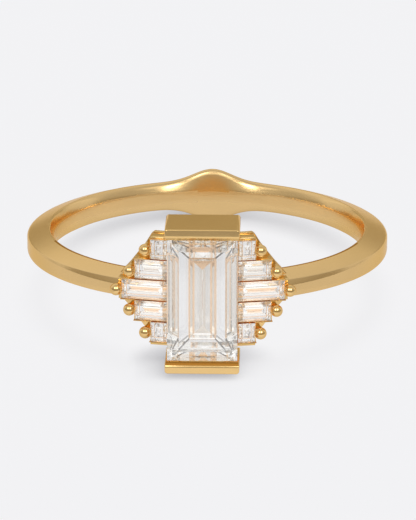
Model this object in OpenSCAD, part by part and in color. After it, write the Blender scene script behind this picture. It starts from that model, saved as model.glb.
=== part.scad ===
// Gold ring with an upright step-cut centre stone and two stepped fans of small baguettes.
// The ring lies on its side: the finger hole is nearly upright and the head faces -Y.
// Units are millimetres. The origin is below the middle of the ring, on the surface it lies on.

/* [Shank] */
// Inside diameter at the narrowest part of the bore, US size 6
bore_d = 16.5; // [15:0.1:19]
// Thickness of the shank from the bore to its outer face
shank_t = 1.45; // [1.3:0.05:1.8]
// Width of the shank along the finger, at its inner edge
shank_w = 1.68; // [1.5:0.02:2.1]
// Width of the outer face between the two side bevels
face_w = 0.92; // [0.8:0.01:1.3]
// Width of the straight part of the bore
land_w = 0.70; // [0.5:0.05:1]
// How far the bore opens out towards its edges
flare = 0.25; // [0.1:0.01:0.35]
// Slope of the long shoulder facets, in degrees from the outer face
shoulder_slope = 15; // [10:1:20]
// Width left between the shoulder facets at the head
shoulder_land = 0.25; // [0.15:0.01:0.4]

/* [Pointed back] */
// How far the point stands above the edge of the shank, each side
peak_h = 0.69; // [0.3:0.01:1]
// Half width at which the point has fallen to about a third
peak_spread = 1.02; // [0.9:0.02:1.5]

/* [Centre stone] */
// Width of the centre stone
stone_w = 3.62; // [3.4:0.02:3.8]
// Length of the centre stone along the finger
stone_l = 6.60; // [6.2:0.05:6.8]
// Height of the table above the bore
stone_top = 2.88; // [2.7:0.02:3.1]
// Height of the crown, from the girdle to the table
crown_h = 0.45; // [0.35:0.01:0.5]
// Depth from the table to the keel
stone_deep = 2.10; // [1.9:0.02:2.2]

/* [End bars] */
// Height of the head over both end bars
head_l = 7.74; // [7.7:0.02:8]
// Width of an end bar
bar_w = 3.84; // [3.7:0.02:3.9]
// Height of the bars' front faces above the bore
bar_top = 2.90; // [2.7:0.02:3.1]
// Width of the flat front face of a bar
bar_face = 0.40; // [0.3:0.02:0.45]
// How far the lip reaches over the stone's end
lip = 0.07; // [0.04:0.01:0.1]
// Rounding of the bars' outer corners
bar_round = 0.15; // [0.1:0.01:0.3]

/* [Side stones] */
// Distance from one row of side stones to the next
row_pitch = 1.115; // [1.1:0.005:1.2]
// Height of a side stone along the finger
side_w = 1.03; // [0.9:0.01:1.05]
// Length of the two shortest side stones
side_short = 0.90; // [0.8:0.02:0.96]
// Length of the two middle side stones
side_middle = 1.74; // [1.5:0.02:1.8]
// Length of the longest side stone
side_long = 2.44; // [2.2:0.02:2.5]
// Depth of a side stone from table to keel
side_deep = 0.80; // [0.7:0.02:0.85]
// Depth of the side stones' tables at their inner ends, from the bar's front
side_set_back = 1.60; // [1.5:0.02:1.9]
// Slant of each fan of side stones, in degrees
side_slant = 11.6; // [8:0.1:13]

/* [Bead prongs and gallery] */
// Diameter of the bead at the end of each side stone
bead_d = 0.58; // [0.5:0.01:0.6]
// Distance from the end of a stone to the middle of its bead
bead_out = 0.22; // [0.2:0.01:0.25]
// Diameter of the post under each bead
post_d = 0.36; // [0.2:0.01:0.36]
// Thickness of the rims along the steps
rim_t = 0.11; // [0.09:0.01:0.14]

/* [Fit] */
// Gap between a stone and the metal around it
gap = 0.04; // [0.03:0.01:0.05]

/* [Hidden] */
$fn = 64;
eps = 0.01;
big = 30;

bore_r = bore_d / 2;
outer_r = bore_r + shank_t;
edge_r = bore_r + flare;
// The point also leans outwards a little.
peak_opens = 0.12;
peak_edge_r = edge_r + peak_opens;
shank_half = shank_w / 2;
face_half = face_w / 2;
land_half = land_w / 2;
// The side bevel stops this far below the outer face's radius.
ridge_drop = 0.02;
ridge_r = outer_r - ridge_drop;
bevel_angle = atan((shank_half - face_half) / (ridge_r - edge_r));

stone_half_w = stone_w / 2;
stone_half_l = stone_l / 2;
girdle_t = 0.08;
front_y = -(bore_r + bar_top);
table_y = -(bore_r + stone_top);

head_half = head_l / 2;
bar_half = bar_w / 2;
// The backs of the bars and plates stand off from the finger.
bar_clear = 0.06;
gallery_clear = 0.20;
bar_rear = bore_r + bar_clear;
gallery_rear = bore_r + gallery_clear;
// The metal around a stone's girdle stands off by the gap.
wall_in = stone_half_l + gap;
lip_in = stone_half_l - lip;
girdle_r = bore_r + stone_top - crown_h;
lip_start = 0.20;
lip_slant = 0.06;
lip_r = girdle_r + lip_start;
slope_out = head_half - bar_face;

// The fans start just outside the centre stone.
fan_gap = 0.06;
fan_x = stone_half_w + fan_gap;
fan_y = front_y + side_set_back;
row_len = [side_short, side_middle, side_long, side_middle, side_short];
row_z = [2 * row_pitch, row_pitch, 0, -row_pitch, -2 * row_pitch];
last_row = len(row_len) - 1;
plate_front = 0.36;
plate_back = 2.4;
// Depth at which the stepped front layer of a plate meets the slanting rear one.
plate_middle = 1.00;
pocket_clear = 0.12;
pocket_deep = side_deep + pocket_clear;
rim_front = 0.14;
// The posts run on into the rear layer by this much.
post_sunk = 0.10;
// Behind the head the shank narrows to a thin inner band of this thickness.
neck_t = 0.5;
neck_half = 4.4;
neck_front = -(bore_r + neck_t);
// Edges of the gallery plate: inner side, top above the outer row's middle, and ends.
plate_in = 0.55;
plate_top = side_w / 2 + 0.20;
plate_end = head_half - 0.30;

// Lowest edges when the ring is laid down: the head's rear bottom edge and the back point.
foot_y = -bar_rear;
foot_z = -head_half;
heel_y = peak_edge_r;
heel_z = -(shank_half + peak_h);
tilt = atan((heel_z - foot_z) / (heel_y - foot_y));
rest_z = foot_y * sin(tilt) - foot_z * cos(tilt);
front_edge = front_y * cos(tilt) - head_half * sin(tilt);
back_edge = outer_r * cos(tilt) + (face_half + peak_h) * sin(tilt);
middle_y = -(front_edge + back_edge) / 2;

// Rows of a cut stone from table to keel: depth as a share of the whole depth,
// then inset as a share of half the short side.
COL_DEPTH = 0;
COL_INSET = 1;
side_steps = [
    [0.00, 0.46],
    [0.14, 0.20],
    [0.26, 0.00],
    [0.33, 0.00],
    [0.62, 0.36],
    [0.85, 0.70],
    [1.00, 0.94]
];
// Corners of a gallery plate's slanting side: row of stones, how far past its end,
// and how far above its middle.
COL_ROW = 0;
COL_PAST = 1;
COL_UP = 2;
plate_corners = [
    [2, 0.36, 0.00],
    [2, 0.36, 0.52],
    [1, 0.46, 0.09],
    [0, 0.43, 0.12],
    [0, 0.13, 0.62],
    [0, 0.00, plate_top]
];
crown_share = crown_h / stone_deep;
girdle_share = girdle_t / stone_deep;
centre_steps = [
    [0.00, 0.34],
    [crown_share * 0.36, 0.22],
    [crown_share * 0.70, 0.11],
    [crown_share, 0.00],
    [crown_share + girdle_share, 0.00],
    [0.52, 0.26],
    [0.80, 0.62],
    [1.00, 0.96]
];

// Laid down on its side as it comes to rest.
module laid_down() {
    translate([0, middle_y, rest_z])
        rotate([-tilt, 0, 0])
            children();
}

// One rectangle of a stone, at a depth below the table.
function step_ring(half_x, half_z, deep) = [
    [-half_x, deep, -half_z],
    [half_x, deep, -half_z],
    [half_x, deep, half_z],
    [-half_x, deep, half_z]
];

// Step-cut stone with its table in the XZ plane and its keel towards +Y.
module step_cut(size_x, size_z, deep, steps) {
    short_half = min(size_x, size_z) / 2;
    rings = [for (s = steps) step_ring(size_x / 2 - s[COL_INSET] * short_half,
        size_z / 2 - s[COL_INSET] * short_half, s[COL_DEPTH] * deep)];
    corners = [for (r = rings) for (p = r) p];
    last = 4 * (len(steps) - 1);
    sides = [for (k = [0 : len(steps) - 2]) for (c = [0 : 3])
        [4 * k + c, 4 * k + 4 + c, 4 * k + 4 + (c + 1) % 4, 4 * k + (c + 1) % 4]];
    ends = [[0, 1, 2, 3], [last + 3, last + 2, last + 1, last]];
    polyhedron(points = corners, faces = concat(ends, sides), convexity = 4);
}

// Half of the shank's section, from the middle line up.
module shank_section(rise) {
    polygon([
        [bore_r, 0],
        [bore_r, land_half],
        [edge_r, shank_half + rise],
        [ridge_r, face_half + rise],
        [outer_r, face_half + rise - ridge_drop],
        [outer_r, 0]
    ]);
}

module full_section(rise) {
    shank_section(rise);
    mirror([0, 1])
        shank_section(rise);
}

// The same band, higher than the point, which is cut from it.
tall_spare = 0.3;
tall_edge_r = edge_r + peak_opens * (peak_h + tall_spare) / peak_h;
module tall_section() {
    polygon([
        [bore_r, 0],
        [bore_r, land_half],
        [edge_r, shank_half],
        [tall_edge_r, shank_half + peak_h + tall_spare],
        [outer_r, shank_half + peak_h + tall_spare],
        [outer_r, 0]
    ]);
}

// Bell-shaped rise of the point over the edge of the shank.
function bell(x) = peak_h * exp(-(x * x) / (2 * peak_spread * peak_spread));
// The edge curves forwards away from the middle, where the sloping top is higher by this much.
function fall(x) = tan(bevel_angle) * (peak_edge_r - sqrt(edge_r * edge_r - x * x));
bell_half = 3.6;
bell_deep = 6;
bell_steps = 24;
bell_x = [for (i = [0 : bell_steps]) -bell_half + 2 * bell_half * i / bell_steps];

module bell_outline() {
    polygon(concat([[bell_half, -shank_half], [-bell_half, -shank_half]],
        [for (x = bell_x) [x, (shank_half + bell(x) - fall(x) + fall(0)) * cos(bevel_angle)]]));
}

// The upper half of the point: its top falls outwards like the side bevel.
module back_point_half() {
    intersection() {
        rotate_extrude($fn = 180)
            tall_section();
        translate([0, peak_edge_r, 0])
            rotate([-bevel_angle, 0, 0])
                translate([0, bell_deep / 2, 0])
                    rotate([90, 0, 0])
                        linear_extrude(height = bell_deep)
                            bell_outline();
        translate([-big / 2, edge_r - bell_deep / 2, 0])
            cube([big, bell_deep, bell_deep]);
    }
}

module plain_shank() {
    rotate_extrude($fn = 180)
        full_section(0);
    back_point_half();
    mirror([0, 0, 1])
        back_point_half();
}

// Two long facets that narrow the outer face towards the head. They lie on a cone whose
// axis is a little behind the finger's, so they fade out half way round.
cone_shift = 0.10;
cone_half = 4;
cone_r = outer_r + cone_shift;
cone_end_r = cone_r - (cone_half - shoulder_land / 2) * tan(shoulder_slope);
module shoulder_cutter() {
    translate([0, cone_shift, 0])
        rotate_extrude($fn = 180)
            polygon([
                [0, -cone_half],
                [cone_end_r, -cone_half],
                [cone_r, -shoulder_land / 2],
                [cone_r, shoulder_land / 2],
                [cone_end_r, cone_half],
                [0, cone_half]
            ]);
}

module shank() {
    difference() {
        intersection() {
            plain_shank();
            union() {
                shoulder_cutter();
                translate([-big / 2, 0, -cone_half])
                    cube([big, big, 2 * cone_half]);
            }
        }
        translate([-neck_half, -big, -cone_half])
            cube([2 * neck_half, big + neck_front, 2 * cone_half]);
    }
}

// Side view of the upper end bar: depth runs to the right, height up.
module bar_profile() {
    polygon([
        [bar_rear, wall_in],
        [lip_r, wall_in],
        [lip_r + lip_slant, lip_in],
        [bore_r + bar_top, slope_out],
        [bore_r + bar_top, head_half],
        [bar_rear, head_half]
    ]);
}

// Front outline of both bars, with rounded outer corners.
module head_outline() {
    square([bar_w, head_l - 2 * bar_round], center = true);
    square([bar_w - 2 * bar_round, head_l], center = true);
    for (sx = [-1, 1])
        for (sz = [-1, 1])
            translate([sx * (bar_half - bar_round), sz * (head_half - bar_round)])
                circle(r = bar_round, $fn = 32);
}

module end_bars() {
    intersection() {
        union() {
            upper_bar();
            mirror([0, 0, 1])
                upper_bar();
        }
        rotate([90, 0, 0])
            linear_extrude(height = big)
                head_outline();
    }
}

module upper_bar() {
    translate([bar_half, 0, 0])
        rotate([0, 0, -90])
            rotate([90, 0, 0])
                linear_extrude(height = bar_w)
                    bar_profile();
}

// Place of the right-hand fan: X runs along the stones, Y into the ring.
module fan_place() {
    translate([fan_x, fan_y, 0])
        rotate([0, 0, side_slant])
            children();
}

// Slanting outline of the gallery plate's rear layer, from the middle row up.
module plate_half_outline() {
    polygon(concat([[-plate_in, 0]],
        [for (c = plate_corners)
            [row_len[c[COL_ROW]] + c[COL_PAST], row_z[c[COL_ROW]] + c[COL_UP]]],
        [[-plate_in, row_z[0] + plate_top]]));
}

// Stepped outline of its front layer, a little larger than the rows of stones.
module plate_steps() {
    for (k = [0 : last_row])
        translate([-plate_in, row_z[k] - side_w / 2 - gap - rim_t])
            square([plate_in + row_len[k] + gap + rim_t, side_w + 2 * (gap + rim_t)]);
}

// The plate's inner side, which joins both end bars.
module plate_stem() {
    translate([-plate_in, -plate_end])
        square([plate_in, 2 * plate_end]);
}

module row_boxes(grow) {
    for (k = [0 : last_row])
        translate([-gap, row_z[k] - side_w / 2 - grow])
            square([row_len[k] + gap, side_w + 2 * grow]);
}

// Thin ledges along the steps, above and below the rows' free ends.
module step_rims() {
    rotate([-90, 0, 0])
        translate([0, 0, rim_front])
            linear_extrude(height = plate_front - rim_front + eps)
                difference() {
                    row_boxes(gap + rim_t);
                    row_boxes(gap);
                    // No metal shows between neighbouring rows.
                    for (k = [0 : last_row - 1])
                        translate([-rim_t, (row_z[k] + row_z[k + 1]) / 2 - row_pitch / 2])
                            square([min(row_len[k], row_len[k + 1]) + rim_t + gap, row_pitch]);
                }
}

module bead_prong(k) {
    translate([row_len[k] + bead_out, 0, row_z[k]]) {
        sphere(d = bead_d, $fn = 40);
        rotate([-90, 0, 0])
            cylinder(d = post_d, h = plate_middle + post_sunk, $fn = 24);
    }
}

module fan_plate() {
    fan_place()
        rotate([-90, 0, 0]) {
            translate([0, 0, plate_front])
                linear_extrude(height = plate_middle - plate_front + eps)
                    plate_steps();
            translate([0, 0, plate_front])
                linear_extrude(height = plate_back)
                    plate_stem();
            translate([0, 0, plate_middle])
                linear_extrude(height = plate_back - plate_middle + plate_front) {
                    plate_half_outline();
                    mirror([0, 1])
                        plate_half_outline();
                }
        }
}

// Room for each stone: round its girdle, and behind it for the pointed underside.
module fan_pockets() {
    fan_place()
        for (k = [0 : last_row])
            translate([0, 0, row_z[k] - side_w / 2]) {
                translate([-rim_t, -1, -gap])
                    cube([row_len[k] + rim_t + gap, 1 + plate_front, side_w + 2 * gap]);
                translate([gap / 2, 0, gap])
                    cube([row_len[k] - gap, pocket_deep, side_w - 2 * gap]);
            }
}

module fan_front() {
    fan_place() {
        step_rims();
        for (k = [0 : last_row])
            bead_prong(k);
    }
}

// Both plates, cut to follow the finger at the back.
module gallery() {
    difference() {
        union() {
            fan_plate();
            mirror([1, 0, 0])
                fan_plate();
        }
        cylinder(r = gallery_rear, h = 2 * head_l, center = true);
    }
}

module mounting_upright() {
    difference() {
        union() {
            shank();
            end_bars();
            gallery();
        }
        fan_pockets();
        mirror([1, 0, 0])
            fan_pockets();
    }
    fan_front();
    mirror([1, 0, 0])
        fan_front();
}

module mounting() {
    color([0.83, 0.66, 0.40])
        laid_down()
            mounting_upright();
}

module centre_stone() {
    color([0.93, 0.94, 0.95])
        laid_down()
            translate([0, table_y, 0])
                step_cut(stone_w, stone_l, stone_deep, centre_steps);
}

module side_stone(k) {
    color([0.93, 0.93, 0.93])
        fan_place()
            translate([row_len[k] / 2, 0, row_z[k]])
                step_cut(row_len[k], side_w, side_deep, side_steps);
}

module side_stone_right(k) {
    laid_down()
        side_stone(k);
}

module side_stone_left(k) {
    laid_down()
        mirror([1, 0, 0])
            side_stone(k);
}

mounting();
centre_stone();
side_stone_left(0);  // side_stone_left_1
side_stone_left(1);  // side_stone_left_2
side_stone_left(2);  // side_stone_left_3
side_stone_left(3);  // side_stone_left_4
side_stone_left(4);  // side_stone_left_5
side_stone_right(0);  // side_stone_right_1
side_stone_right(1);  // side_stone_right_2
side_stone_right(2);  // side_stone_right_3
side_stone_right(3);  // side_stone_right_4
side_stone_right(4);  // side_stone_right_5
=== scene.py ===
# %% [markdown]
# # A gold ring with a step-cut centre stone
#
# The ring lies on its side on a white table, as a jeweller would lay it down for a
# product picture. The measured solids come first, as the frame. Every visible piece
# is then modelled again with its polish, its softened edges and its facets, and takes
# the place of the solid that it stands for.

# %% Load the frame
import bpy
import bmesh
import math
from mathutils import Matrix, Quaternion, Vector


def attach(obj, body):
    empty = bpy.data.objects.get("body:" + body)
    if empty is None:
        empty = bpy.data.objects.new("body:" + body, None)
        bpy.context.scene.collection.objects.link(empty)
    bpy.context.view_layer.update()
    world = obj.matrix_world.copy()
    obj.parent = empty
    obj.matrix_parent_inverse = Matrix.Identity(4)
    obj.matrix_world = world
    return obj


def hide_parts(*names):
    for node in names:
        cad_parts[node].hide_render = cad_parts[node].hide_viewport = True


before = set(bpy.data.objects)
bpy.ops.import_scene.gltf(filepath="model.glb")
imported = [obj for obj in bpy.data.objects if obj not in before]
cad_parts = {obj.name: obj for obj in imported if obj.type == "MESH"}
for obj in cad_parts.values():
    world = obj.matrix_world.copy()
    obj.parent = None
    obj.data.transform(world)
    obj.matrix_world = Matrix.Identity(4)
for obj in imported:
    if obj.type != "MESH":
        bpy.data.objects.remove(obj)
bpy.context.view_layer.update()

# %% [markdown]
# A ring is easiest to model standing in its own frame: the finger runs along Z, the
# stones face -Y, and the middle of the bore is the origin. On the table it leans, because
# the tall head lifts the front: it touches down with the foot of the lower end bar and
# with the heel under the pointed back. Each piece could be turned as an object, but one
# matrix lays every finished mesh down instead, so no object carries a turn or a scale of
# its own. Radii are measured from the finger's axis, and half sizes from the ring's
# middle plane.

# %% Named sizes, in millimetres
BORE_R = 8.25             # the finger hole
OUTER_R = 9.70            # the outer face of the band
EDGE_R = BORE_R + 0.25    # the inner edge of the bevelled sides
SHANK_HALF = 0.84         # half the band's width at that edge
FACE_HALF = 0.46          # half its width at the outer ridge
LAND_HALF = 0.35          # half of the straight part of the bore
POINT_RISE = 0.69         # how far the pointed back stands up
POINT_SPREAD = 1.02       # how far its bell spreads
POINT_OPENS = 0.12        # how much the solid's point opens outwards at the heel
HEAD_HALF = 3.87          # from the middle of the head to the end of a bar
BAR_HALF = 1.92           # half a bar's length across the stone
BAR_REAR = BORE_R + 0.06  # the bars' rear, just clear of the finger
FRONT_R = BORE_R + 2.90   # the bars' front

foot = (-BAR_REAR, -HEAD_HALF)
heel = (EDGE_R + POINT_OPENS, -(SHANK_HALF + POINT_RISE))
tilt = math.atan((heel[1] - foot[1]) / (heel[0] - foot[0]))
front_edge = -FRONT_R * math.cos(tilt) - HEAD_HALF * math.sin(tilt)
back_edge = OUTER_R * math.cos(tilt) + (FACE_HALF + POINT_RISE) * math.sin(tilt)
middle_y = -(front_edge + back_edge) / 2
rest_z = -BAR_REAR * math.sin(tilt) + HEAD_HALF * math.cos(tilt)
LAID_DOWN = (Matrix.Translation((0, middle_y / 1000, rest_z / 1000))
             @ Matrix.Rotation(-tilt, 4, "X") @ Matrix.Scale(0.001, 4))
bore_middle = LAID_DOWN @ Vector((0, 0, 0))
print("the ring leans by", round(math.degrees(tilt), 2), "degrees")

# %% [markdown]
# The picture was taken from in front and a little above with a long lens, so the shapes
# hardly taper with distance. A short lens would widen the front of the ring, and a view
# without any perspective would lose the last bit of depth, so the camera stands 20 cm away
# with a lens to match. It aims just below the middle of the bore, which leaves the ring in
# the upper half of the frame.

# %% Camera
PHOTO_HIGH = 520
PIXELS_PER_MM = 18.53
SENSOR = 36
CAMERA_AWAY = 202.0
CAMERA_TURN = math.radians(1.44)
CAMERA_RISE = tilt + math.radians(17.2)
CAMERA_ROLL = math.radians(-0.12)
AIM_BELOW = 1.117
AIM_RIGHT = 0.04

back = Vector((math.sin(CAMERA_TURN) * math.cos(CAMERA_RISE),
               -math.cos(CAMERA_TURN) * math.cos(CAMERA_RISE),
               math.sin(CAMERA_RISE)))
facing = (-back).to_track_quat("-Z", "Y") @ Quaternion((0, 0, 1), CAMERA_ROLL)
right, up = facing @ Vector((1, 0, 0)), facing @ Vector((0, 1, 0))
lens = bpy.data.cameras.new("camera")
lens.sensor_width = SENSOR
lens.lens = SENSOR * PIXELS_PER_MM * CAMERA_AWAY / PHOTO_HIGH
lens.clip_start, lens.clip_end = 0.01, 20
camera = bpy.data.objects.new("camera", lens)
bpy.context.scene.collection.objects.link(camera)
aim = bore_middle + (right * AIM_RIGHT - up * AIM_BELOW) / 1000
camera.location = aim + back * CAMERA_AWAY / 1000
camera.rotation_mode = "QUATERNION"
camera.rotation_quaternion = facing
bpy.context.scene.camera = camera
print("lens", round(lens.lens), "mm, looking down by", round(math.degrees(CAMERA_RISE), 1))

# %% [markdown]
# Materials are node trees, and most nodes in them are plain arithmetic. They could be
# placed and linked one by one, which takes many lines for a short formula. A small class
# that wraps a socket lets Python write that arithmetic as an expression instead, such as
# `1 - mask`. Every other node comes from one method that takes its type, its settings,
# and the values or links of its sockets.

# %% Nodes as expressions
class Wire:
    """One output of a node. Arithmetic on it adds Math nodes to the same tree."""

    def __init__(self, tree, socket):
        self.tree, self.socket = tree, socket

    def maths(self, operation, *values):
        return Sheet(self.tree).add("Math", {"operation": operation}, values)

    def __add__(self, other): return self.maths("ADD", self, other)
    def __radd__(self, other): return self.maths("ADD", other, self)
    def __sub__(self, other): return self.maths("SUBTRACT", self, other)
    def __rsub__(self, other): return self.maths("SUBTRACT", other, self)
    def __mul__(self, other): return self.maths("MULTIPLY", self, other)
    def __rmul__(self, other): return self.maths("MULTIPLY", other, self)
    def __abs__(self): return self.maths("ABSOLUTE", self)
    def or_more(self, other): return self.maths("MAXIMUM", self, other)


class Sheet:
    """A node tree to draw on."""

    def __init__(self, tree):
        self.tree = tree

    def join(self, socket, value):
        if isinstance(value, Wire):
            self.tree.links.new(value.socket, socket)
        else:
            socket.default_value = value

    def add(self, kind, settings=None, values=(), output=0):
        node = self.tree.nodes.new("ShaderNode" + kind)
        for name, value in (settings or {}).items():
            setattr(node, name, value)
        pairs = values.items() if isinstance(values, dict) else enumerate(values)
        for name, value in pairs:
            self.join(node.inputs[name], value)
        return Wire(self.tree, node.outputs[output])

    def blend(self, share, first, second):
        return self.add("Mix", {"data_type": "RGBA"}, {0: share, 6: first, 7: second}, output=2)

    def smooth(self, value, low, high, start=0.0, end=1.0):
        return self.add("MapRange", {"interpolation_type": "SMOOTHSTEP"},
                        (value, low, high, start, end))

    def part(self, vector, axis):
        return self.add("SeparateXYZ", {}, (vector,), output=axis)


def new_material(name, **constants):
    """A material whose unchanging values sit on the shader's own sockets."""
    material = bpy.data.materials.new(name)
    material.use_nodes = True
    shader = material.node_tree.nodes["Principled BSDF"]
    for socket, value in constants.items():
        shader.inputs[socket.replace("_", " ").title().replace("Ior", "IOR")].default_value = value
    return material, Sheet(material.node_tree), shader


print("node helpers ready")

# %% [markdown]
# Every piece is finished in the same way. Its doubles are merged, its faces are turned
# outwards, and the laying-down matrix is applied to the mesh itself. Polished metal shows
# every wrong normal. More faces would hide that only in part, so the shading is smooth,
# with sharp edges kept where faces meet at an angle, and a Weighted Normal modifier keeps
# the flat faces flat right up to their bevels.

# %% From a bmesh to a finished piece
SAME_POINT = 0.0004


def finish_piece(bm, name, material, nodes, sharp_above=35.0, weighted=True, others=()):
    bmesh.ops.remove_doubles(bm, verts=bm.verts, dist=SAME_POINT)
    bmesh.ops.recalc_face_normals(bm, faces=bm.faces)
    bmesh.ops.transform(bm, matrix=LAID_DOWN, verts=bm.verts)
    mesh = bpy.data.meshes.new(name)
    bm.to_mesh(mesh)
    bm.free()
    for finish in (material, *others):
        mesh.materials.append(finish)
    if sharp_above:
        mesh.polygons.foreach_set("use_smooth", [True] * len(mesh.polygons))
        mesh.set_sharp_from_angle(angle=math.radians(sharp_above))
    piece = bpy.data.objects.new(name, mesh)
    bpy.context.scene.collection.objects.link(piece)
    if weighted:
        fair = piece.modifiers.new("flat faces stay flat", "WEIGHTED_NORMAL")
        fair.keep_sharp = True
    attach(piece, "root")
    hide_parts(*nodes)
    print(name, len(mesh.polygons), "faces")


def soften(bm, width, above=30.0, segments=2, chosen=None):
    """Bevels the edges where two faces meet at more than an angle, or only the chosen ones."""
    edges = chosen or [e for e in bm.edges if len(e.link_faces) == 2
                       and e.calc_face_angle() > math.radians(above)]
    bmesh.ops.bevel(bm, geom=edges, offset=width, offset_type="OFFSET", segments=segments,
                    profile=0.5, affect="EDGES", material=-1, clamp_overlap=True)


def corners_of(geometry):
    return [g for g in geometry if isinstance(g, bmesh.types.BMVert)]


def extruded(bm, faces, keep=False):
    """Extrudes faces and returns the new corners; the old faces stay only as a cap."""
    moved = bmesh.ops.extrude_face_region(bm, geom=faces)["geom"]
    if not keep:
        bmesh.ops.delete(bm, geom=[f for f in faces if f.is_valid], context="FACES_ONLY")
    return corners_of(moved)


print("finishing helpers ready")

# %% [markdown]
# The metal is 18 karat yellow gold. One colour with one roughness looks like plastic
# chrome at this scale, and a picture of real metal would not follow the shapes. So the
# roughness drifts a little over the surface, and two fine noises, one soft and one drawn
# out like a buffing mark, disturb the normals. The band has a satin polish, the inside of
# it is brushed and more uneven, the bars are polished, and the beads are burnished. Where
# gold mirrors only more gold it turns a deep brown, as in a narrow groove, and a darker
# gold paints that dark reflection in: a painted reflection on a few narrow faces. Real gold
# keeps its colour at grazing angles, which the tint of the specular edge gives.

# %% Gold
CLOUDS, MARKS = 420.0, 2600.0
MARKS_DRAWN_OUT = (1.0, 1.0, 7.0)
RELIEF_DEEP = 0.00002


def make_gold(name, colour, rough, buffing, relief=0.12):
    material, sheet, shader = new_material(name, metallic=1.0, specular_tint=(1.0, 0.83, 0.55, 1))
    place = sheet.add("TexCoord", output="Object")
    cloud = sheet.add("TexNoise", {}, {"Vector": place, "Scale": CLOUDS, "Detail": 3.0})
    drawn = sheet.add("Mapping", {}, {"Vector": place, "Scale": MARKS_DRAWN_OUT})
    marks = sheet.add("TexNoise", {}, {"Vector": drawn, "Scale": MARKS, "Detail": 4.0})
    tone = sheet.blend(sheet.smooth(cloud, 0.35, 0.7), (*[c * 0.96 for c in colour], 1),
                       (*colour, 1))
    sheet.join(shader.inputs["Base Color"], tone)
    sheet.join(shader.inputs["Roughness"],
               rough + (cloud - 0.5) * rough * 0.5 + (marks - 0.5) * 0.08)
    bump = sheet.add("Bump", {}, {"Strength": relief, "Distance": RELIEF_DEEP,
                                  "Height": cloud * 0.6 + marks * buffing})
    sheet.join(shader.inputs["Normal"], bump)
    return material


GOLD_COLOUR = (0.92, 0.62, 0.262)
SATIN_COLOUR = (0.92, 0.625, 0.28)
# A darker gold for painted dark reflections.
PAINTED_REFLECTION_COLOUR = (0.50, 0.22, 0.036)
satin_gold = make_gold("satin gold", SATIN_COLOUR, 0.20, 0.8)
brushed_gold = make_gold("brushed gold of the bore", SATIN_COLOUR, 0.33, 1.6, 0.3)
painted_reflection_gold = make_gold("gold with a painted dark reflection", PAINTED_REFLECTION_COLOUR, 0.18, 0.5)
gold = make_gold("polished gold", GOLD_COLOUR, 0.13, 0.5)
burnished_gold = make_gold("burnished gold", GOLD_COLOUR, 0.05, 0.2)
print("five golds ready")

# %% [markdown]
# The shank is one profile carried round the finger: a rounded bore, a bevelled side and an
# outer face with crisp edges. It changes on the way. At the front two long shoulder facets
# narrow the outer face, and at the back the sides rise to a point along a bell curve, with
# softer, more worn edges. The profile could be a drawn curve, but here it is a short row of
# corners with a reach of rounding for each, because a corner is easy to move with the
# angle.

# %% Corners of the shank's profile
POINT_ASIDE = 0.08
RIDGE_R = 9.68
FACE_EDGE = 0.30
SHOULDER_R, SHOULDER_DROP, SHOULDER_SLOPE, SHOULDER_EDGE = 9.698, 0.10, 0.268, 0.125
BORE_REACH, LAND_REACH = 0.28, 0.40
FRONT_EDGE_ROUND, BACK_EDGE_ROUND = 0.17, 0.10
WORN_FROM, WORN_OVER, WORN_MORE = 0.5, 0.45, 0.28
LAND_ENDS, LAND_SHRINKS = 0.88, 0.12
CRISP = 0.03


def bell(x):
    """How far the pointed back rises at this distance from the ring's middle."""
    return POINT_RISE * math.exp(-(x - POINT_ASIDE) ** 2 / (2 * POINT_SPREAD ** 2))


def corners_at(angle):
    """Corners of the upper half, bore to outside: radius, height, and the reach of the
    rounding before and after the corner."""
    side = abs(math.sin(angle))
    bore_reach, land_reach, land = BORE_REACH, LAND_REACH, LAND_HALF
    if math.sin(angle) < 0:
        # The front half: the shoulder facet drops towards the head, and its ridge is crisp.
        drop = SHOULDER_DROP - SHOULDER_DROP * side
        ridge_r = min(RIDGE_R, SHOULDER_R - SHOULDER_DROP * side)
        face_edge = min(FACE_EDGE, SHOULDER_EDGE + drop / SHOULDER_SLOPE)
        ridge_round = 0.035 + 0.095 * max(0.0, 1 - 2 * side)
        edge_round = FRONT_EDGE_ROUND
        inner_rise = outer_rise = 0.0
    else:
        # The back half: the outer face narrows, and the ridge and the edges get rounder.
        ridge_r = RIDGE_R
        face_edge = FACE_EDGE - 0.18 * min(1.0, side / 0.3)
        ridge_round = 0.13 + 0.20 * min(1.0, side / 0.7)
        worn = min(1.0, max(0.0, side - WORN_FROM) / WORN_OVER)
        edge_round = BACK_EDGE_ROUND + WORN_MORE * worn
        # The point: both edges rise, and the inner one keeps its full width of land.
        inner_rise = bell(EDGE_R * math.cos(angle))
        outer_rise = bell(RIDGE_R * math.cos(angle))
        worn_land = worn * (1 - inner_rise / POINT_RISE)
        bore_reach -= 0.18 * worn_land
        land_reach -= 0.30 * worn_land
        land -= LAND_SHRINKS * max(0.0, side - LAND_ENDS) / (1 - LAND_ENDS)
        inner_rise += 0.16 * (edge_round - BACK_EDGE_ROUND)
    return [(BORE_R, 0, 0, 0), (BORE_R, land, bore_reach, land_reach),
            (EDGE_R, SHANK_HALF + inner_rise, edge_round, edge_round),
            (ridge_r, FACE_HALF + outer_rise, ridge_round, ridge_round),
            (OUTER_R, face_edge + outer_rise, CRISP, CRISP), (OUTER_R, 0, 0, 0)]


print("corners of the half profile:", len(corners_at(0)))

# %% [markdown]
# A file and a buff leave every edge of a ring a little round. A bevel could do that once
# the band is there, but its width would be the same all the way. So each corner of the
# profile is rounded before the band is made, by a curve that leaves one arm of the corner
# and arrives on the other within the reach that the corner gives. The lower half of the
# profile mirrors the upper one.

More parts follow.
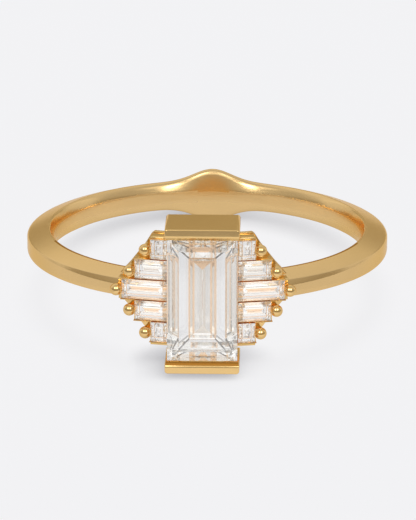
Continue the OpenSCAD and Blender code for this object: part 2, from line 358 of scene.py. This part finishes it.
# %% Round the profile
def filleted(corners, steps):
    """Points along a line of corners, each corner rounded within its two reaches."""
    points = [Vector(corners[0][:2])]
    for before, here, after in zip(corners, corners[1:], corners[2:]):
        at = Vector(here[:2])
        to_before, to_after = Vector(before[:2]) - at, Vector(after[:2]) - at
        start = at + to_before.normalized() * min(here[2], 0.8 * to_before.length)
        end = at + to_after.normalized() * min(here[3], 0.8 * to_after.length)
        for i in range(steps + 1):
            t = i / steps
            points.append(start * (1 - t) ** 2 + at * 2 * t * (1 - t) + end * t ** 2)
    points.append(Vector(corners[-1][:2]))
    return points


def profile_at(angle, steps=6):
    upper = filleted(corners_at(angle), steps)
    lower = [Vector((p.x, -p.y)) for p in reversed(upper[1:-1])]
    return upper + lower


print("profile points:", len(profile_at(0)))

# %% [markdown]
# Behind the head the real shank is filed thin to make room for the stones. A boolean could
# cut that room, but it leaves long thin faces that spoil a polish. A limit on the radius
# does it without any cut: flat across the back of the centre stone, and along the backs of
# the two slanted fans up to their ends.

# %% Room behind the stones
NECK_R = BORE_R + 0.5
NECK_HALF = 4.4
FAN_SLANT = math.radians(11.6)
FAN_CORNER = (1.87, 1.60 - FRONT_R)
FAN_BACK = 0.95


def radius_limit(angle):
    """How far out the band may reach at this angle."""
    sideways, forwards = abs(math.cos(angle)), -math.sin(angle)
    if forwards < 0.5 or OUTER_R * sideways > NECK_HALF:
        return OUTER_R
    lean = sideways * math.sin(FAN_SLANT) + forwards * math.cos(FAN_SLANT)
    corner = FAN_CORNER[0] * math.sin(FAN_SLANT) - FAN_CORNER[1] * math.cos(FAN_SLANT)
    return min(OUTER_R, NECK_R / forwards, (corner - FAN_BACK) / lean)


print("the band is", round(radius_limit(-math.pi / 2) - BORE_R, 2), "mm thick behind the head")

# %% [markdown]
# Spin makes the plain band from one closed loop of vertices. A curve with a bevel object
# would carry the profile round as well, but couldn't change it on the way. Here every
# vertex remembers its row in the loop, and is then moved to where the profile at its own
# angle wants it. The rows also choose the finish: the bore is brushed, and the narrow
# rounding along the inner edge of the front arms takes the darker gold, a painted
# reflection of the shaded inside of the ring.

# %% Spin the shank
SHANK_STEPS = 360                # one for each degree
BORE_SKIN = 0.03                 # faces this close to the bore are brushed
INNER_EDGE_ROWS = range(11, 15)  # the later half of the inner edge's rounding
FRONT_ARMS = -3.0                # the arms lie in front of this

bm = bmesh.new()
row_layer = bm.verts.layers.int.new("profile row")
loop = [bm.verts.new((p.x, 0, p.y)) for p in profile_at(0)]
profile_points = len(loop)
for row, v in enumerate(loop):
    v[row_layer] = row
for a, b in zip(loop, loop[1:] + loop[:1]):
    bm.edges.new((a, b))
bmesh.ops.spin(bm, geom=bm.verts[:] + bm.edges[:], cent=(0, 0, 0), axis=(0, 0, 1),
               dvec=(0, 0, 0), angle=2 * math.pi, steps=SHANK_STEPS, use_merge=True,
               use_duplicate=False)
for v in bm.verts:
    angle = math.atan2(v.co.y, v.co.x)
    p = profile_at(angle)[v[row_layer]]
    r = min(p.x, radius_limit(angle))
    v.co = (r * math.cos(angle), r * math.sin(angle), p.y)
for f in bm.faces:
    rows = [min(v[row_layer], profile_points - v[row_layer]) for v in f.verts]
    if all(math.hypot(v.co.x, v.co.y) < BORE_R + BORE_SKIN for v in f.verts):
        f.material_index = 1
    # The inner edge of the front arms gets the darker gold, a painted dark reflection.
    elif all(row in INNER_EDGE_ROWS for row in rows) and all(v.co.y < FRONT_ARMS for v in f.verts):
        f.material_index = 2
finish_piece(bm, "shank", satin_gold, ["mounting"], sharp_above=50,
             others=[brushed_gold, painted_reflection_gold])

# %% [markdown]
# An end bar is a block with a sloping lip that reaches over the end of the stone. A cube
# with its edges moved would do, but the outline seen from the side keeps the lip's slope in
# plain numbers: it is filled as one face and extruded across the stone's width. The two
# outer corners are rounded first, then every other edge gets the fine softness that
# polishing leaves. The lower bar's slope faces up to the stone and mirrors only gold, so it
# takes the darker gold, which paints that dark reflection in.

# %% End bars
LIP = [(BAR_REAR, 3.34), (10.88, 3.34), (10.94, 3.23), (FRONT_R, 3.47),
       (FRONT_R, HEAD_HALF), (BAR_REAR, HEAD_HALF)]
CORNER_ROUND, EDGE_SOFT = 0.15, 0.06
ON_EDGE = 1e-5


def make_bar(name, way):
    bm = bmesh.new()
    side = bm.faces.new([bm.verts.new((-BAR_HALF, -r, way * v)) for r, v in LIP])
    bmesh.ops.translate(bm, vec=(2 * BAR_HALF, 0, 0), verts=extruded(bm, [side], keep=True))
    bmesh.ops.recalc_face_normals(bm, faces=bm.faces)
    corners = [e for e in bm.edges
               if all(abs(abs(v.co.z) - HEAD_HALF) < ON_EDGE for v in e.verts)
               and abs(e.verts[0].co.x - e.verts[1].co.x) < ON_EDGE]
    soften(bm, CORNER_ROUND, segments=6, chosen=corners)
    soften(bm, EDGE_SOFT, above=25, segments=4)
    bm.normal_update()
    for f in bm.faces:
        # The lower bar's slope takes the darker gold: a painted dark reflection.
        if way < 0 and f.normal.y < -0.6 and 0.6 < f.normal.z < 0.8:
            f.material_index = 1
    finish_piece(bm, name, gold, ["mounting"], others=[painted_reflection_gold])


make_bar("end_bar_top", 1)
make_bar("end_bar_bottom", -1)

# %% [markdown]
# The side stones sit in two fans that slope back on either side of the centre stone. They
# could be placed one by one, but both fans have the same rows, so they are modelled in one
# flat layout: along the stones, into the ring, and up. A matrix turns the layout to its
# slope, and a mirror makes the left-hand fan of it.

# %% Layout of a fan
SIDE_WIDTH = 1.03
SIDE_LENGTHS = [0.90, 1.74, 2.44, 1.74, 0.90]
ROW_PITCH = 1.115
ROW_HEIGHTS = [(2 - k) * ROW_PITCH for k in range(5)]
SIDE_DEEP = 0.80
FAN = Matrix.Translation((*FAN_CORNER, 0)) @ Matrix.Rotation(FAN_SLANT, 4, "Z")
SIDES = {"right": Matrix.Identity(4), "left": Matrix.Scale(-1, 4, (1, 0, 0))}
GAP = 0.025                   # between a stone and the gold beside it
RIM_THICK = 0.05
STAND = GAP + RIM_THICK       # how far the trays stand out beyond their stones
RIM_FRONT = 0.14              # depths behind the stones' tables
PLATE_FRONT = 0.36
PLATE_MIDDLE = 1.00
PLATE_REAR_R = BORE_R + 0.20  # the hollow for the finger
PLATE_TOP = 2 * ROW_PITCH + SIDE_WIDTH / 2 + 0.20
PLATE_END = HEAD_HALF - 0.30


def place_fan(bm, side):
    bmesh.ops.transform(bm, matrix=SIDES[side] @ FAN, verts=bm.verts)


print("fan rows at", [round(h, 3) for h in ROW_HEIGHTS])

# %% [markdown]
# Behind each fan stands a gallery plate, and it joins both end bars at its inner side. Its
# rear layer slants from the middle row up to the bars and is hollowed to follow the finger.
# A cylinder could be cut out of a thick plate, but it is simpler to fill one outline, cut it
# across so that it can bend, extrude it, and push the new corners back onto the cylinder.

# %% Gallery plates, rear layer
REAR_HALF = [(2.80, 0), (2.80, 0.52), (2.20, 1.205), (1.33, 2.35), (1.03, 2.85),
             (0.90, PLATE_TOP), (0, PLATE_TOP), (0, PLATE_END), (-0.55, PLATE_END)]
BENDS_AT = (0.45, 0.9, 1.35, 1.8, 2.2, 2.5)


def on_finger(u, v_height):
    """Depth at which the plate's rear meets the cylinder round the finger, by halving."""
    low, high = 0.0, 4.0
    for _ in range(40):
        middle = (low + high) / 2
        p = FAN @ Vector((u, middle, v_height))
        if math.hypot(p.x, p.y) > PLATE_REAR_R:
            low = middle
        else:
            high = middle
    return low


def make_rear_layer(side):
    bm = bmesh.new()
    whole = REAR_HALF + [(u, -v) for u, v in reversed(REAR_HALF) if v > 0]
    bm.faces.new([bm.verts.new((u, PLATE_MIDDLE, v)) for u, v in whole])
    for u in BENDS_AT:
        bmesh.ops.bisect_plane(bm, geom=bm.verts[:] + bm.edges[:] + bm.faces[:],
                               plane_co=(u, 0, 0), plane_no=(1, 0, 0), dist=ON_EDGE)
    for v in extruded(bm, bm.faces[:], keep=True):
        v.co.y = on_finger(v.co.x, v.co.z)
    bmesh.ops.recalc_face_normals(bm, faces=bm.faces)
    soften(bm, 0.035, above=40)
    place_fan(bm, side)
    finish_piece(bm, "gallery_rear_" + side, gold, ["mounting"])


for side in SIDES:
    make_rear_layer(side)

# %% [markdown]
# On the plate every stone has a shallow tray: a block whose front face is inset and pushed
# in, which is how a setter would cut a seat too. A stem of plain metal joins the trays
# beside the centre stone. Small ledges close the fan above its first row and below its
# last, and a narrow block ends the middle row; they are what the light catches round the
# stones. The blocks' fronts differ by a few microns, so that no two faces lie in one plane.

# %% Stone trays
POCKET_DEEP = SIDE_DEEP + 0.12
STEM = (-0.55, 0.0)
STAGGER, STEM_STAGGER, END_STAGGER = 0.004, 0.002, 0.003
OVERLAP = 0.01
SUNK = PLATE_MIDDLE + 0.02
UPPER_LEDGE, LOWER_LEDGE = 0.09, 0.11
END_BLOCK = 0.12


def block(bm, low, high):
    """A box between two corners; returns its front face."""
    low, high = Vector(low), Vector(high)
    size = Matrix.Diagonal((*(high - low), 1))
    made = bmesh.ops.create_cube(bm, size=1, matrix=Matrix.Translation((low + high) / 2) @ size)
    faces = {f for v in made["verts"] for f in v.link_faces}
    return min(faces, key=lambda f: f.calc_center_median().y)


def make_trays(side):
    bm = bmesh.new()
    half = SIDE_WIDTH / 2 + STAND
    ledge = 2 * ROW_PITCH + half
    for low, high in ((ledge - OVERLAP, ledge + UPPER_LEDGE),
                      (-ledge - LOWER_LEDGE, -ledge + OVERLAP)):
        block(bm, (-STAND, RIM_FRONT + 0.05, low), (SIDE_LENGTHS[0] + OVERLAP, PLATE_MIDDLE, high))
    soften(bm, 0.03, segments=3)
    for k, (length, height) in enumerate(zip(SIDE_LENGTHS, ROW_HEIGHTS)):
        face = block(bm, (-STAND, PLATE_FRONT + STAGGER * (k % 2), height - half),
                     (length + STAND, SUNK, height + half))
        bmesh.ops.inset_individual(bm, faces=[face], thickness=STAND)
        bmesh.ops.translate(bm, vec=(0, POCKET_DEEP - PLATE_FRONT, 0),
                            verts=extruded(bm, [face]))
    block(bm, (STEM[0], PLATE_FRONT + STEM_STAGGER, -PLATE_END), (STEM[1], SUNK, PLATE_END))
    outer, end_half = SIDE_LENGTHS[2] + STAND, half - OVERLAP
    block(bm, (outer - OVERLAP, PLATE_FRONT + END_STAGGER, -end_half),
          (outer + END_BLOCK, SUNK, end_half))
    bmesh.ops.recalc_face_normals(bm, faces=bm.faces)
    place_fan(bm, side)
    finish_piece(bm, "stone_trays_" + side, gold, ["mounting"])


for side in SIDES:
    make_trays(side)

# %% [markdown]
# A thin rim runs along each step of a fan and holds the outer girdles. Boxes would do, but
# a rim is really a folded strip, and making it as one keeps its thickness even: each rim is
# a single edge, extruded to a ribbon and given its thickness by solidify.

# %% Stepped rims
RIBBON_BACK = 0.03


def make_rims(side):
    stand = GAP + RIM_THICK / 2 - 0.004
    bm = bmesh.new()
    inner = -GAP
    for length, height in zip(SIDE_LENGTHS[:3], ROW_HEIGHTS[:3]):
        top = height + SIDE_WIDTH / 2 + stand
        for v in (top, -top):
            ends = [bm.verts.new((u, RIM_FRONT, v)) for u in (inner, length + STAND - 0.004)]
            bm.edges.new(ends)
        inner = length + GAP
    ribbon = bmesh.ops.extrude_edge_only(bm, edges=bm.edges[:])["geom"]
    bmesh.ops.translate(bm, vec=(0, PLATE_FRONT - RIM_FRONT + RIBBON_BACK, 0),
                        verts=corners_of(ribbon))
    bmesh.ops.recalc_face_normals(bm, faces=bm.faces)
    for face in bm.faces:
        if face.normal.z < 0:
            face.normal_flip()
    bmesh.ops.solidify(bm, geom=bm.faces[:], thickness=RIM_THICK)
    bmesh.ops.translate(bm, vec=(0, 0, RIM_THICK / 2), verts=bm.verts)
    bmesh.ops.recalc_face_normals(bm, faces=bm.faces)
    soften(bm, 0.02, above=35)
    print("rims between heights", round(min(v.co.z for v in bm.verts), 3),
          round(max(v.co.z for v in bm.verts), 3))
    place_fan(bm, side)
    finish_piece(bm, "step_rims_" + side, gold, ["mounting"])


for side in SIDES:
    make_rims(side)

# %% [markdown]
# Each side stone is held at its free end by a bead: a short post whose tip is worked
# into a small ball. It could be sculpted with the marks of the tool, but at 0.6 mm across a
# ball from an icosphere and a tapered post say enough, and the burnished gold does the
# rest. The post runs on into the plate behind it.

# %% Bead prongs
BEAD_R = 0.32
BEAD_OUT = 0.24
BEAD_HEIGHTS = [2.23, 1.05, 0.0, -1.05, -2.23]
POST_R = 0.19
POST_FLARE = 1.35
POST_LONG = PLATE_MIDDLE + 0.1


def make_bead(side, k):
    u, height = SIDE_LENGTHS[k] + BEAD_OUT, BEAD_HEIGHTS[k]
    bm = bmesh.new()
    bmesh.ops.create_icosphere(bm, subdivisions=4, radius=BEAD_R,
                               matrix=Matrix.Translation((u, 0, height)))
    post = (Matrix.Translation((u, POST_LONG / 2, height))
            @ Matrix.Rotation(math.radians(90), 4, "X"))
    bmesh.ops.create_cone(bm, cap_ends=True, cap_tris=False, segments=32, radius1=POST_R,
                          radius2=POST_R * POST_FLARE, depth=POST_LONG, matrix=post)
    place_fan(bm, side)
    finish_piece(bm, f"bead_{side}_{k + 1}", burnished_gold, ["mounting"],
                 weighted=False)


for side in SIDES:
    for k in range(5):
        make_bead(side, k)

# %% [markdown]
# Diamond is a clear solid with a very high refractive index. One clear material is right in
# theory, but a real stone gathers its light over dozens of inner reflections, and a render
# with few samples gives a grey, noisy stone instead. So only the crown is clear, with a
# trace of painted glow. Each facet behind it is a metal named for what a real facet there
# sends back, and most of these are painted light: the bright room as a mirror, the peach
# tone of the gold seat as a painted reflection with a glow, the lit end of the keel as a
# painted glow, the warm part of the keel as a tinted mirror that paints the seat's
# reflection, the shade of a corner as painted shade, and the matt girdle with a painted glow.

# %% Diamond
def make_diamond(name, glow):
    return new_material(name, base_color=(0.985, 0.985, 0.99, 1), ior=2.42, roughness=0.0,
                        transmission_weight=1.0, emission_color=(1.0, 0.995, 0.985, 1),
                        emission_strength=glow)[0]


def make_back(name, colour, rough, glow=0.0, glow_colour=(1.0, 0.97, 0.92), metallic=1.0):
    return new_material(name, metallic=metallic, base_color=(*colour, 1), roughness=rough,
                        emission_color=(*glow_colour, 1), emission_strength=glow)[0]


# Both diamonds carry a faint painted glow.
diamond = make_diamond("clear diamond", 0.006)
small_diamond = make_diamond("small diamond", 0.012)
# The facet backs paint light: the seat's glint, the lit end of the keel and the matt girdle glow
# by emission, the mirrors carry a faint painted glow, the warm mirror is tinted as a painted
# reflection of the seat, and the shade of the corners is painted shade.
BACKS = {
    "glint": make_back("glint of the seat", (0.86, 0.63, 0.43), 0.25, 0.18, (0.95, 0.62, 0.36)),
    "mirror": make_back("mirror of the pavilion", (0.94, 0.94, 0.935), 0.03, 0.02),
    "lit": make_back("lit end of the keel", (0.94, 0.93, 0.91), 0.1, 0.30),
    "shade": make_back("shade of the corners", (0.36, 0.35, 0.35), 0.1),
    "frost": make_back("matt girdle with painted glow", (0.9, 0.9, 0.89), 0.6, 0.7, (1.0, 0.985, 0.96),
                       metallic=0.0),
    "warm": make_back("warm mirror of the keel", (0.85, 0.82, 0.77), 0.03, 0.02,
                      (1.0, 0.93, 0.84)),
}
FACET_SLOTS = ["clear", *BACKS]
print("diamond and", len(BACKS), "kinds of facet ready")

# %% [markdown]
# A step-cut stone is a stack of rectangles: the small table, a few crown steps out to the
# girdle, and pavilion steps in to the keel. It could be cut from a block, as on the wheel.
# Here one face is extruded again and again, and each time the new face is moved in and
# scaled to the next rectangle, which gives the same flat facets in fewer moves. They stay
# flat shaded, because their sharp edges are what makes the stone sparkle. A small table
# says what the facets of a step show: its long sides, its upper end and its lower end.

# %% Step cut
CLEAR, MIRROR = "clear clear clear", "mirror mirror mirror"


def step_cut(size_x, size_z, deep, steps, backs):
    """Table in the XZ plane at y = 0, keel towards +Y. A step is its share of the depth and
    its inset in millimetres; backs names what a step's sides, upper and lower end show."""
    bm = bmesh.new()
    halves = [(size_x / 2 - inset, share * deep, size_z / 2 - inset) for share, inset in steps]
    hx, y, hz = halves[0]
    face = bm.faces.new([bm.verts.new(c) for c in
                         ((-hx, y, -hz), (hx, y, -hz), (hx, y, hz), (-hx, y, hz))])
    for step, (hx, y, hz) in enumerate(halves[1:], 1):
        before = set(bm.faces)
        corners = extruded(bm, [face], keep=step == 1)
        for v in corners:
            v.co = (math.copysign(hx, v.co.x), y, math.copysign(hz, v.co.z))
        new = set(bm.faces) - before
        face = [f for f in new if set(f.verts) == set(corners)][0]
        for f in new - {face}:
            end = f.calc_center_median().z / hz
            part = 1 if end > 0.9 else 2 if end < -0.9 else 0
            f.material_index = FACET_SLOTS.index(backs.get(step, CLEAR).split()[part])
    bmesh.ops.recalc_face_normals(bm, faces=bm.faces)
    return bm


def finish_stone(bm, name, clear, node):
    finish_piece(bm, name, clear, [node], sharp_above=None, weighted=False,
                 others=BACKS.values())


print("a step cut has", len(CLEAR.split()), "kinds of facet to each step")

# %% [markdown]
# The centre stone is nearly twice as long as it is wide, so its keel is a long line. Two
# very narrow steps low in the pavilion bring in the thin peach lines beside it, a painted
# reflection of the gold seat. Where the long and the short facets of a deep step meet in a
# mitre, a real stone shows a grey blade towards its corner. A dark stripe in the material
# would float when the stone is turned, so the four mitred edges get a narrow facet each,
# with the painted shade of the corners.

# %% Centre stone
CENTRE_W, CENTRE_L, CENTRE_DEEP = 3.62, 6.60, 2.10
CENTRE_STEPS = [(0.00, 0.62), (0.10, 0.27), (0.185, 0.07), (0.214, 0.00), (0.252, 0.00),
                (0.50, 0.55), (0.772, 1.11), (0.780, 1.19), (0.872, 1.32), (0.880, 1.41),
                (1.00, 1.804)]
CENTRE_BACKS = {4: "frost frost frost", 5: MIRROR, 6: MIRROR, 7: "glint glint mirror",
                8: "warm mirror mirror", 9: "glint glint mirror", 10: "warm glint lit"}
MITRE_WIDE = 0.045
TABLE_R = BORE_R + 2.88

bm = step_cut(CENTRE_W, CENTRE_L, CENTRE_DEEP, CENTRE_STEPS, CENTRE_BACKS)
outer, inner = CENTRE_STEPS[5][1], CENTRE_STEPS[6][1]
mitres = [e for e in bm.edges
          if sorted(round(CENTRE_W / 2 - abs(v.co.x), 3) for v in e.verts) == [outer, inner]
          and sorted(round(CENTRE_L / 2 - abs(v.co.z), 3) for v in e.verts) == [outer, inner]]
cut = bmesh.ops.bevel(bm, geom=mitres, offset=MITRE_WIDE, offset_type="OFFSET", segments=1,
                      profile=0.5, affect="EDGES", material=-1, clamp_overlap=True)
# The mitre facets take painted shade.
for f in cut["faces"]:
    f.material_index = FACET_SLOTS.index("shade")
print("mitred corners:", len(mitres))
bmesh.ops.translate(bm, vec=(0, -TABLE_R, 0), verts=bm.verts)
finish_stone(bm, "centre_cut", diamond, "centre_stone")

# %% [markdown]
# The ten side stones are the same cut on a small scale. The shortest ones are a little
# shallower, and their insets shrink with their length. Copies of one stone would all
# flash at once, which no hand-set row does, so each stone leans by a degree or two about
# its length, and the painted reflection on the upper side of the keel, warm or peach,
# changes from row to row.

# %% Side stones
SIDE_STEPS = [(0.00, 0.20), (0.14, 0.09), (0.26, 0.00), (0.33, 0.00), (0.55, 0.13),
              (0.71, 0.23), (0.72, 0.27), (0.86, 0.38), (1.00, 0.505)]
SIDE_BACKS = {4: MIRROR, 5: MIRROR, 6: "glint glint glint", 7: MIRROR}
# The keel's upper side shows a painted reflection, warm or peach, row by row.
SIDE_KEELS = ["warm", "warm", "glint", "glint", "warm"]
SIDE_LEANS = {"right": [1.2, -1.8, 0.9, -1.0, 1.6], "left": [-1.4, 2.0, -0.8, 1.3, -1.1]}
SHORT_DEEP = 0.8
LEANS_AT = 0.3

for side in SIDES:
    for k, (length, height) in enumerate(zip(SIDE_LENGTHS, ROW_HEIGHTS)):
        deep = SIDE_DEEP * (SHORT_DEEP if length < SIDE_WIDTH else 1)
        steps = [(share, inset * min(1, length / SIDE_WIDTH)) for share, inset in SIDE_STEPS]
        backs = {**SIDE_BACKS, 8: f"mirror {SIDE_KEELS[k]} lit"}
        bm = step_cut(length, SIDE_WIDTH, deep, steps, backs)
        lean = Matrix.Rotation(math.radians(SIDE_LEANS[side][k]), 3, "X")
        bmesh.ops.rotate(bm, cent=(0, deep * LEANS_AT, 0), matrix=lean, verts=bm.verts)
        bmesh.ops.translate(bm, vec=(length / 2, 0, height), verts=bm.verts)
        place_fan(bm, side)
        finish_stone(bm, f"side_cut_{side}_{k + 1}", small_diamond, f"side_stone_{side}_{k + 1}")

# %% [markdown]
# The floor is a sheet of white paper that runs back out of sight. A curved backdrop would
# hide the horizon too, but the camera looks down enough never to see it, so one flat face
# will do. It is not part of the ring.

# %% Floor
floor_mesh = bmesh.new()
bmesh.ops.create_grid(floor_mesh, x_segments=1, y_segments=1, size=1.5)
mesh = bpy.data.meshes.new("floor")
floor_mesh.to_mesh(mesh)
floor_mesh.free()
floor = bpy.data.objects.new("floor", mesh)
bpy.context.scene.collection.objects.link(floor)
print("floor, m:", [round(2 * max(v.co[axis] for v in mesh.vertices), 1) for axis in (0, 1)])

# %% [markdown]
# In the picture the paper is one even tone, with a soft shadow held tight under the band
# and the bar. A lamp alone throws the long shadow of the tall head across it. So the paper
# glows by itself, like a light table, and a shadow is painted into its glow only where the
# ring closes off the air around a point, as looked for along a slanted direction. The gold
# mirrors the paper too, and for it the sheet is painted dimmer, as painted shade, far in
# front of the ring, and a little dimmer beside the head and behind it.

# %% Paper
SHADOW_REACH = 0.0017
SHADOW_FROM = (0.35, -0.80, 0.45)
SHADOW_TONE, PAPER_GLOW = (0.10, 0.10, 0.13, 1), (0.98, 0.98, 1.0, 1)
PAPER_COLOUR, BLACK = (0.07, 0.07, 0.0705, 1), (0.0, 0.0, 0.0, 1)
FRONT_PAPER, BESIDE_DIMS, WITHIN_DIMS = 0.44, 0.2, 0.17

paper, sheet, shader = new_material("paper", roughness=0.9, specular_ior_level=0.0,
                                    emission_strength=0.872)
place = sheet.add("TexCoord", output="Object")
along, across = sheet.part(place, "Y"), abs(sheet.part(place, "X"))
seen_directly = sheet.add("LightPath", output="Is Camera Ray").or_more(
    sheet.add("LightPath", output="Is Transmission Ray"))
# Painted shade for reflections only: the paper is dimmer far in front, beside the head and behind
# it.
far_front = sheet.smooth(along, -0.050, -0.038, FRONT_PAPER, 1.0)
beside = sheet.smooth(across, 0.006, 0.012) * BESIDE_DIMS
within = sheet.smooth(along, -0.012, -0.009) * WITHIN_DIMS
seen = seen_directly + (1 - seen_directly) * far_front * (1 - beside.or_more(within))
# Painted shadow: where the air along a slanted direction is closed off, the glow turns to the
# shadow tone.
slanted = sheet.add("CombineXYZ", {}, SHADOW_FROM)
open_air = sheet.add("AmbientOcclusion", {"samples": 8},
                     {"Distance": SHADOW_REACH, "Normal": slanted}, output="AO")
lit = sheet.blend(open_air, SHADOW_TONE, PAPER_GLOW)
sheet.join(shader.inputs["Base Color"], sheet.blend(seen, BLACK, PAPER_COLOUR))
sheet.join(shader.inputs["Emission Color"], sheet.blend(seen, BLACK, lit))
floor.data.materials.append(paper)
print("paper ready, its shadow reaches", 1000 * SHADOW_REACH, "mm")

# %% [markdown]
# Gold and diamond show little of themselves and much of the room. Lamps and cards could
# stand round the ring, as in a jeweller's white tent. Drawn by direction on the world they
# are quicker to move and render without noise: each soft box is a bright rounded patch
# with a direction, two half sizes and a strength.

# %% Soft boxes
world = bpy.data.worlds.new("studio")
world.use_nodes = True
bpy.context.scene.world = world
room = Sheet(world.node_tree)
direction = room.add("TexCoord", output="Generated")
dx, dy, dz = [room.part(direction, axis) for axis in "XYZ"]
BOX_EDGE = 0.06


def soft_box(azimuth, rise, wide, high, strength):
    """Angles in degrees; an azimuth of 0 is in front of the ring, and 90 to its right."""
    a, r = math.radians(azimuth), math.radians(rise)
    out = Vector((math.sin(a) * math.cos(r), -math.cos(a) * math.cos(r), math.sin(r)))
    sideways = Vector((math.cos(a), math.sin(a), 0))

    def towards(axis):
        return dx * axis.x + dy * axis.y + dz * axis.z

    def within_half(axis, half):
        reach = math.sin(math.radians(half))
        return room.smooth(abs(towards(axis)), reach - BOX_EDGE, reach + BOX_EDGE, 1.0, 0.0)

    return (room.smooth(towards(out), 0.1, 0.2) * within_half(sideways, wide)
            * within_half(sideways.cross(out), high) * strength)


print("studio nodes so far:", len(world.node_tree.nodes))

# %% [markdown]
# The room has a dim horizon, a brighter panel high up behind the ring and a softer ceiling.
# Two small strong boxes in front make the sharp highlights of the beads, and the wide weak
# ones keep the bars and the arms from going flat. One cool grey for the whole room would
# leave the gold's dark facets dull, so the dim parts are tinted warm. Light that reaches
# the eye through a stone comes from a tent of its own, nearly white all round, because a
# real diamond gathers light from every side at once.

# %% Studio light
HORIZON, PANEL, CEILING = 0.32, 0.36, 0.18
BOXES = [(28, 44, 8, 10, 5.5), (-28, 44, 8, 10, 5.5), (0, 68, 40, 9, 0.5),
         (0, 38, 16, 8, 0.6), (115, 12, 18, 10, 0.3), (-115, 12, 18, 10, 0.3)]
DIM_WALLS, BRIGHT_WALLS = (1.06, 0.955, 0.74, 1), (0.985, 0.99, 1.0, 1)
TENT_TINT = (1.0, 0.985, 0.955, 1)

backwards = room.smooth(dy, -0.25, 0.35)
panel = backwards * (room.smooth(dz, 0.24, 0.42) * room.smooth(dz, 0.80, 0.92, 1.0, 0.0))
level = HORIZON + backwards * 0.10 + panel * (PANEL - room.smooth(dx, 0.05, 0.35) * 0.12)
level = level + room.smooth(dz, 0.12, 0.45) * (1 - panel) * CEILING
for box in BOXES:
    level = level + soft_box(*box)
walls = room.blend(room.smooth(level, 0.25, 0.55), DIM_WALLS, BRIGHT_WALLS)

through_stone = room.add("LightPath", output="Is Transmission Ray")
tent = 1.00 + room.smooth(dz, 0.0, 0.6) * 0.12 - soft_box(0, 25, 5, 6, 0.22)
tint = room.blend(through_stone, walls, TENT_TINT)
level = through_stone * tent + (1 - through_stone) * level
studio_colour = room.add("VectorMath", {"operation": "SCALE"}, {0: tint, "Scale": level})
room.join(world.node_tree.nodes["Background"].inputs["Color"], studio_colour)
world.cycles_visibility.diffuse = False
bpy.context.scene.view_settings.view_transform = "Standard"
print("studio with", len(BOXES), "soft boxes")

# %% [markdown]
# The paper needs a little more light than the reflections should show. A brighter world
# would wash out the gold, so a large lamp overhead gives the paper its tone, and it is
# hidden from mirror rays and from rays through the stones. Light has to find its way
# through many facets, so the paths may be long.

# %% Overhead fill and light paths
FILL_BACK, FILL_HIGH = 0.2, 0.6
fill = bpy.data.lights.new("overhead fill", "AREA")
fill.shape = "DISK"
fill.size = 0.35
fill.energy = 2.2
fill_lamp = bpy.data.objects.new("overhead fill", fill)
fill_lamp.location = (0.0, FILL_BACK, FILL_HIGH)
fill_lamp.rotation_euler = (math.atan2(-FILL_BACK, FILL_HIGH), 0, 0)
fill_lamp.visible_glossy = False
fill_lamp.visible_transmission = False
bpy.context.scene.collection.objects.link(fill_lamp)

cycles = bpy.context.scene.cycles
cycles.max_bounces = 24
cycles.glossy_bounces = 16
cycles.transmission_bounces = 24
print("lamp of", fill.energy, "W; at most", cycles.max_bounces, "bounces")
